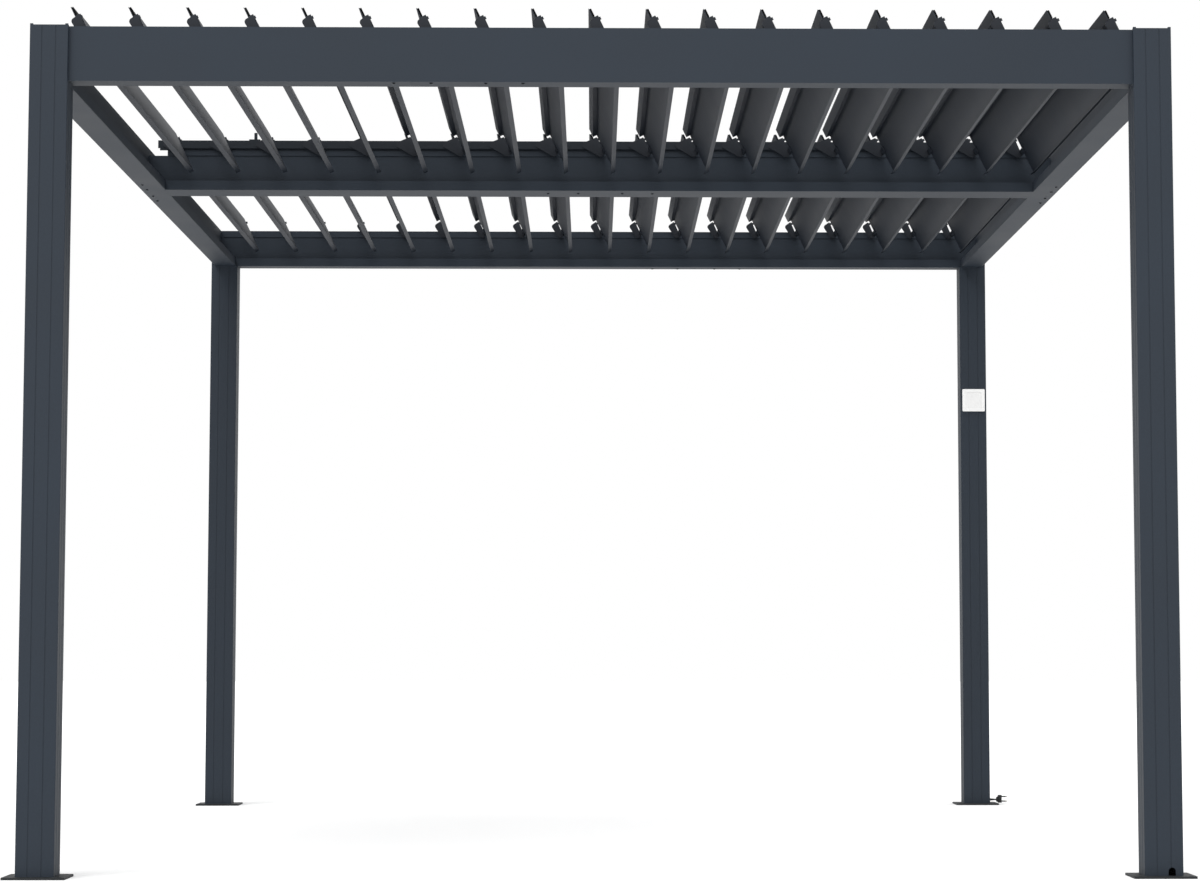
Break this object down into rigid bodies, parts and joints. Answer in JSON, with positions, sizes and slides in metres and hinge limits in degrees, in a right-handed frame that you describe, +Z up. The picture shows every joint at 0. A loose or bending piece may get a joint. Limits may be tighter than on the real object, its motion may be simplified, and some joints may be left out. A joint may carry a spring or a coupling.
{
  "type": "louvered pergola",
  "caption": "Free-standing metal pergola with gutter beams and two bays of linked louvers that turn to open or close the roof.",
  "frame": {"origin": "on the ground at the middle of the four feet", "axes": "+X right along the front, +Y from the front to the back, +Z up"},
  "size_m": [3.1, 4.362, 2.2739],
  "materials": {
    "frame": "fine matt powder coat",
    "louver": "fine matt powder coat",
    "linkage": "matt powder coat",
    "feet": "matt powder coat",
    "control_shell": "satin",
    "control_face": "satin",
    "gland": "matt",
    "cord": "matt",
    "plug": "matt"
  },
  "bodies": {
    "frame": {"front_left_post": "frame", "front_right_post": "frame", "rear_left_post": "frame", "rear_right_post": "frame", "base_plates": "feet", "post_caps": "frame", "front_beam": "frame", "rear_beam": "frame", "left_beam": "frame", "right_beam": "frame", "outer_gutters": "frame", "middle_beam": "frame", "middle_gutters": "frame", "pivot_rails": "frame", "wall_control_box": "control_shell", "wall_control_panel": "control_face", "cord_gland": "gland", "power_cord": "cord", "power_plug": "plug"},
    "front_louver_01": {"front_louver_01": "louver"},
    "front_louver_02": {"front_louver_02": "louver"},
    "front_louver_03": {"front_louver_03": "louver"},
    "front_louver_04": {"front_louver_04": "louver"},
    "front_louver_05": {"front_louver_05": "louver"},
    "front_louver_06": {"front_louver_06": "louver"},
    "front_louver_07": {"front_louver_07": "louver"},
    "front_louver_08": {"front_louver_08": "louver"},
    "front_louver_09": {"front_louver_09": "louver"},
    "front_louver_10": {"front_louver_10": "louver"},
    "front_louver_11": {"front_louver_11": "louver"},
    "front_louver_12": {"front_louver_12": "louver"},
    "front_louver_13": {"front_louver_13": "louver"},
    "front_louver_14": {"front_louver_14": "louver"},
    "front_louver_15": {"front_louver_15": "louver"},
    "front_louver_16": {"front_louver_16": "louver"},
    "front_louver_17": {"front_louver_17": "louver"},
    "front_louver_18": {"front_louver_18": "louver"},
    "front_louver_19": {"front_louver_19": "louver"},
    "front_push_bar": {"front_push_bar": "linkage", "drive_bracket": "linkage"},
    "rear_louver_01": {"rear_louver_01": "louver"},
    "rear_louver_02": {"rear_louver_02": "louver"},
    "rear_louver_03": {"rear_louver_03": "louver"},
    "rear_louver_04": {"rear_louver_04": "louver"},
    "rear_louver_05": {"rear_louver_05": "louver"},
    "rear_louver_06": {"rear_louver_06": "louver"},
    "rear_louver_07": {"rear_louver_07": "louver"},
    "rear_louver_08": {"rear_louver_08": "louver"},
    "rear_louver_09": {"rear_louver_09": "louver"},
    "rear_louver_10": {"rear_louver_10": "louver"},
    "rear_louver_11": {"rear_louver_11": "louver"},
    "rear_louver_12": {"rear_louver_12": "louver"},
    "rear_louver_13": {"rear_louver_13": "louver"},
    "rear_louver_14": {"rear_louver_14": "louver"},
    "rear_louver_15": {"rear_louver_15": "louver"},
    "rear_louver_16": {"rear_louver_16": "louver"},
    "rear_louver_17": {"rear_louver_17": "louver"},
    "rear_louver_18": {"rear_louver_18": "louver"},
    "rear_louver_19": {"rear_louver_19": "louver"},
    "rear_push_bar": {"rear_push_bar": "linkage"}
  },
  "joints": [
    {"name": "front_turn_01", "type": "hinge", "parent": "frame", "child": "front_louver_01", "pos_m": [-1.36575, -1.068, 2.20015], "axis": [0, 1, 0], "range_deg": [-4.5, 113]},
    {"name": "front_turn_02", "type": "hinge", "parent": "frame", "child": "front_louver_02", "pos_m": [-1.214, -1.068, 2.20015], "axis": [0, 1, 0], "range_deg": [-4.5, 113]},
    {"name": "front_turn_03", "type": "hinge", "parent": "frame", "child": "front_louver_03", "pos_m": [-1.06225, -1.068, 2.20015], "axis": [0, 1, 0], "range_deg": [-4.5, 113]},
    {"name": "front_turn_04", "type": "hinge", "parent": "frame", "child": "front_louver_04", "pos_m": [-0.9105, -1.068, 2.20015], "axis": [0, 1, 0], "range_deg": [-4.5, 113]},
    {"name": "front_turn_05", "type": "hinge", "parent": "frame", "child": "front_louver_05", "pos_m": [-0.75875, -1.068, 2.20015], "axis": [0, 1, 0], "range_deg": [-4.5, 113]},
    {"name": "front_turn_06", "type": "hinge", "parent": "frame", "child": "front_louver_06", "pos_m": [-0.607, -1.068, 2.20015], "axis": [0, 1, 0], "range_deg": [-4.5, 113]},
    {"name": "front_turn_07", "type": "hinge", "parent": "frame", "child": "front_louver_07", "pos_m": [-0.45525, -1.068, 2.20015], "axis": [0, 1, 0], "range_deg": [-4.5, 113]},
    {"name": "front_turn_08", "type": "hinge", "parent": "frame", "child": "front_louver_08", "pos_m": [-0.3035, -1.068, 2.20015], "axis": [0, 1, 0], "range_deg": [-4.5, 113]},
    {"name": "front_turn_09", "type": "hinge", "parent": "frame", "child": "front_louver_09", "pos_m": [-0.15175, -1.068, 2.20015], "axis": [0, 1, 0], "range_deg": [-4.5, 113]},
    {"name": "front_turn_10", "type": "hinge", "parent": "frame", "child": "front_louver_10", "pos_m": [0, -1.068, 2.20015], "axis": [0, 1, 0], "range_deg": [-4.5, 113]},
    {"name": "front_turn_11", "type": "hinge", "parent": "frame", "child": "front_louver_11", "pos_m": [0.15175, -1.068, 2.20015], "axis": [0, 1, 0], "range_deg": [-4.5, 113]},
    {"name": "front_turn_12", "type": "hinge", "parent": "frame", "child": "front_louver_12", "pos_m": [0.3035, -1.068, 2.20015], "axis": [0, 1, 0], "range_deg": [-4.5, 113]},
    {"name": "front_turn_13", "type": "hinge", "parent": "frame", "child": "front_louver_13", "pos_m": [0.45525, -1.068, 2.20015], "axis": [0, 1, 0], "range_deg": [-4.5, 113]},
    {"name": "front_turn_14", "type": "hinge", "parent": "frame", "child": "front_louver_14", "pos_m": [0.607, -1.068, 2.20015], "axis": [0, 1, 0], "range_deg": [-4.5, 113]},
    {"name": "front_turn_15", "type": "hinge", "parent": "frame", "child": "front_louver_15", "pos_m": [0.75875, -1.068, 2.20015], "axis": [0, 1, 0], "range_deg": [-4.5, 113]},
    {"name": "front_turn_16", "type": "hinge", "parent": "frame", "child": "front_louver_16", "pos_m": [0.9105, -1.068, 2.20015], "axis": [0, 1, 0], "range_deg": [-4.5, 113]},
    {"name": "front_turn_17", "type": "hinge", "parent": "frame", "child": "front_louver_17", "pos_m": [1.06225, -1.068, 2.20015], "axis": [0, 1, 0], "range_deg": [-4.5, 113]},
    {"name": "front_turn_18", "type": "hinge", "parent": "frame", "child": "front_louver_18", "pos_m": [1.214, -1.068, 2.20015], "axis": [0, 1, 0], "range_deg": [-4.5, 113]},
    {"name": "front_turn_19", "type": "hinge", "parent": "frame", "child": "front_louver_19", "pos_m": [1.36575, -1.068, 2.20015], "axis": [0, 1, 0], "range_deg": [-4.5, 113]},
    {"name": "front_bar_pin", "type": "hinge", "parent": "front_louver_10", "child": "front_push_bar", "pos_m": [-0.04906, -0.024, 2.22705], "axis": [0, 1, 0], "range_deg": [-113, 4.5]},
    {"name": "rear_turn_01", "type": "hinge", "parent": "frame", "child": "rear_louver_01", "pos_m": [-1.36575, 1.068, 2.20015], "axis": [0, 1, 0], "range_deg": [-4.5, 113]},
    {"name": "rear_turn_02", "type": "hinge", "parent": "frame", "child": "rear_louver_02", "pos_m": [-1.214, 1.068, 2.20015], "axis": [0, 1, 0], "range_deg": [-4.5, 113]},
    {"name": "rear_turn_03", "type": "hinge", "parent": "frame", "child": "rear_louver_03", "pos_m": [-1.06225, 1.068, 2.20015], "axis": [0, 1, 0], "range_deg": [-4.5, 113]},
    {"name": "rear_turn_04", "type": "hinge", "parent": "frame", "child": "rear_louver_04", "pos_m": [-0.9105, 1.068, 2.20015], "axis": [0, 1, 0], "range_deg": [-4.5, 113]},
    {"name": "rear_turn_05", "type": "hinge", "parent": "frame", "child": "rear_louver_05", "pos_m": [-0.75875, 1.068, 2.20015], "axis": [0, 1, 0], "range_deg": [-4.5, 113]},
    {"name": "rear_turn_06", "type": "hinge", "parent": "frame", "child": "rear_louver_06", "pos_m": [-0.607, 1.068, 2.20015], "axis": [0, 1, 0], "range_deg": [-4.5, 113]},
    {"name": "rear_turn_07", "type": "hinge", "parent": "frame", "child": "rear_louver_07", "pos_m": [-0.45525, 1.068, 2.20015], "axis": [0, 1, 0], "range_deg": [-4.5, 113]},
    {"name": "rear_turn_08", "type": "hinge", "parent": "frame", "child": "rear_louver_08", "pos_m": [-0.3035, 1.068, 2.20015], "axis": [0, 1, 0], "range_deg": [-4.5, 113]},
    {"name": "rear_turn_09", "type": "hinge", "parent": "frame", "child": "rear_louver_09", "pos_m": [-0.15175, 1.068, 2.20015], "axis": [0, 1, 0], "range_deg": [-4.5, 113]},
    {"name": "rear_turn_10", "type": "hinge", "parent": "frame", "child": "rear_louver_10", "pos_m": [0, 1.068, 2.20015], "axis": [0, 1, 0], "range_deg": [-4.5, 113]},
    {"name": "rear_turn_11", "type": "hinge", "parent": "frame", "child": "rear_louver_11", "pos_m": [0.15175, 1.068, 2.20015], "axis": [0, 1, 0], "range_deg": [-4.5, 113]},
    {"name": "rear_turn_12", "type": "hinge", "parent": "frame", "child": "rear_louver_12", "pos_m": [0.3035, 1.068, 2.20015], "axis": [0, 1, 0], "range_deg": [-4.5, 113]},
    {"name": "rear_turn_13", "type": "hinge", "parent": "frame", "child": "rear_louver_13", "pos_m": [0.45525, 1.068, 2.20015], "axis": [0, 1, 0], "range_deg": [-4.5, 113]},
    {"name": "rear_turn_14", "type": "hinge", "parent": "frame", "child": "rear_louver_14", "pos_m": [0.607, 1.068, 2.20015], "axis": [0, 1, 0], "range_deg": [-4.5, 113]},
    {"name": "rear_turn_15", "type": "hinge", "parent": "frame", "child": "rear_louver_15", "pos_m": [0.75875, 1.068, 2.20015], "axis": [0, 1, 0], "range_deg": [-4.5, 113]},
    {"name": "rear_turn_16", "type": "hinge", "parent": "frame", "child": "rear_louver_16", "pos_m": [0.9105, 1.068, 2.20015], "axis": [0, 1, 0], "range_deg": [-4.5, 113]},
    {"name": "rear_turn_17", "type": "hinge", "parent": "frame", "child": "rear_louver_17", "pos_m": [1.06225, 1.068, 2.20015], "axis": [0, 1, 0], "range_deg": [-4.5, 113]},
    {"name": "rear_turn_18", "type": "hinge", "parent": "frame", "child": "rear_louver_18", "pos_m": [1.214, 1.068, 2.20015], "axis": [0, 1, 0], "range_deg": [-4.5, 113]},
    {"name": "rear_turn_19", "type": "hinge", "parent": "frame", "child": "rear_louver_19", "pos_m": [1.36575, 1.068, 2.20015], "axis": [0, 1, 0], "range_deg": [-4.5, 113]},
    {"name": "rear_bar_pin", "type": "hinge", "parent": "rear_louver_10", "child": "rear_push_bar", "pos_m": [-0.04906, 0.024, 2.22705], "axis": [0, 1, 0], "range_deg": [-113, 4.5]}
  ],
  "couplings": [
    {"joint": "front_turn_01", "follows": "front_turn_10", "ratio": 1},
    {"joint": "front_turn_02", "follows": "front_turn_10", "ratio": 1},
    {"joint": "front_turn_03", "follows": "front_turn_10", "ratio": 1},
    {"joint": "front_turn_04", "follows": "front_turn_10", "ratio": 1},
    {"joint": "front_turn_05", "follows": "front_turn_10", "ratio": 1},
    {"joint": "front_turn_06", "follows": "front_turn_10", "ratio": 1},
    {"joint": "front_turn_07", "follows": "front_turn_10", "ratio": 1},
    {"joint": "front_turn_08", "follows": "front_turn_10", "ratio": 1},
    {"joint": "front_turn_09", "follows": "front_turn_10", "ratio": 1},
    {"joint": "front_turn_11", "follows": "front_turn_10", "ratio": 1},
    {"joint": "front_turn_12", "follows": "front_turn_10", "ratio": 1},
    {"joint": "front_turn_13", "follows": "front_turn_10", "ratio": 1},
    {"joint": "front_turn_14", "follows": "front_turn_10", "ratio": 1},
    {"joint": "front_turn_15", "follows": "front_turn_10", "ratio": 1},
    {"joint": "front_turn_16", "follows": "front_turn_10", "ratio": 1},
    {"joint": "front_turn_17", "follows": "front_turn_10", "ratio": 1},
    {"joint": "front_turn_18", "follows": "front_turn_10", "ratio": 1},
    {"joint": "front_turn_19", "follows": "front_turn_10", "ratio": 1},
    {"joint": "front_bar_pin", "follows": "front_turn_10", "ratio": -1},
    {"joint": "rear_turn_01", "follows": "rear_turn_10", "ratio": 1},
    {"joint": "rear_turn_02", "follows": "rear_turn_10", "ratio": 1},
    {"joint": "rear_turn_03", "follows": "rear_turn_10", "ratio": 1},
    {"joint": "rear_turn_04", "follows": "rear_turn_10", "ratio": 1},
    {"joint": "rear_turn_05", "follows": "rear_turn_10", "ratio": 1},
    {"joint": "rear_turn_06", "follows": "rear_turn_10", "ratio": 1},
    {"joint": "rear_turn_07", "follows": "rear_turn_10", "ratio": 1},
    {"joint": "rear_turn_08", "follows": "rear_turn_10", "ratio": 1},
    {"joint": "rear_turn_09", "follows": "rear_turn_10", "ratio": 1},
    {"joint": "rear_turn_11", "follows": "rear_turn_10", "ratio": 1},
    {"joint": "rear_turn_12", "follows": "rear_turn_10", "ratio": 1},
    {"joint": "rear_turn_13", "follows": "rear_turn_10", "ratio": 1},
    {"joint": "rear_turn_14", "follows": "rear_turn_10", "ratio": 1},
    {"joint": "rear_turn_15", "follows": "rear_turn_10", "ratio": 1},
    {"joint": "rear_turn_16", "follows": "rear_turn_10", "ratio": 1},
    {"joint": "rear_turn_17", "follows": "rear_turn_10", "ratio": 1},
    {"joint": "rear_turn_18", "follows": "rear_turn_10", "ratio": 1},
    {"joint": "rear_turn_19", "follows": "rear_turn_10", "ratio": 1},
    {"joint": "rear_bar_pin", "follows": "rear_turn_10", "ratio": -1}
  ]
}
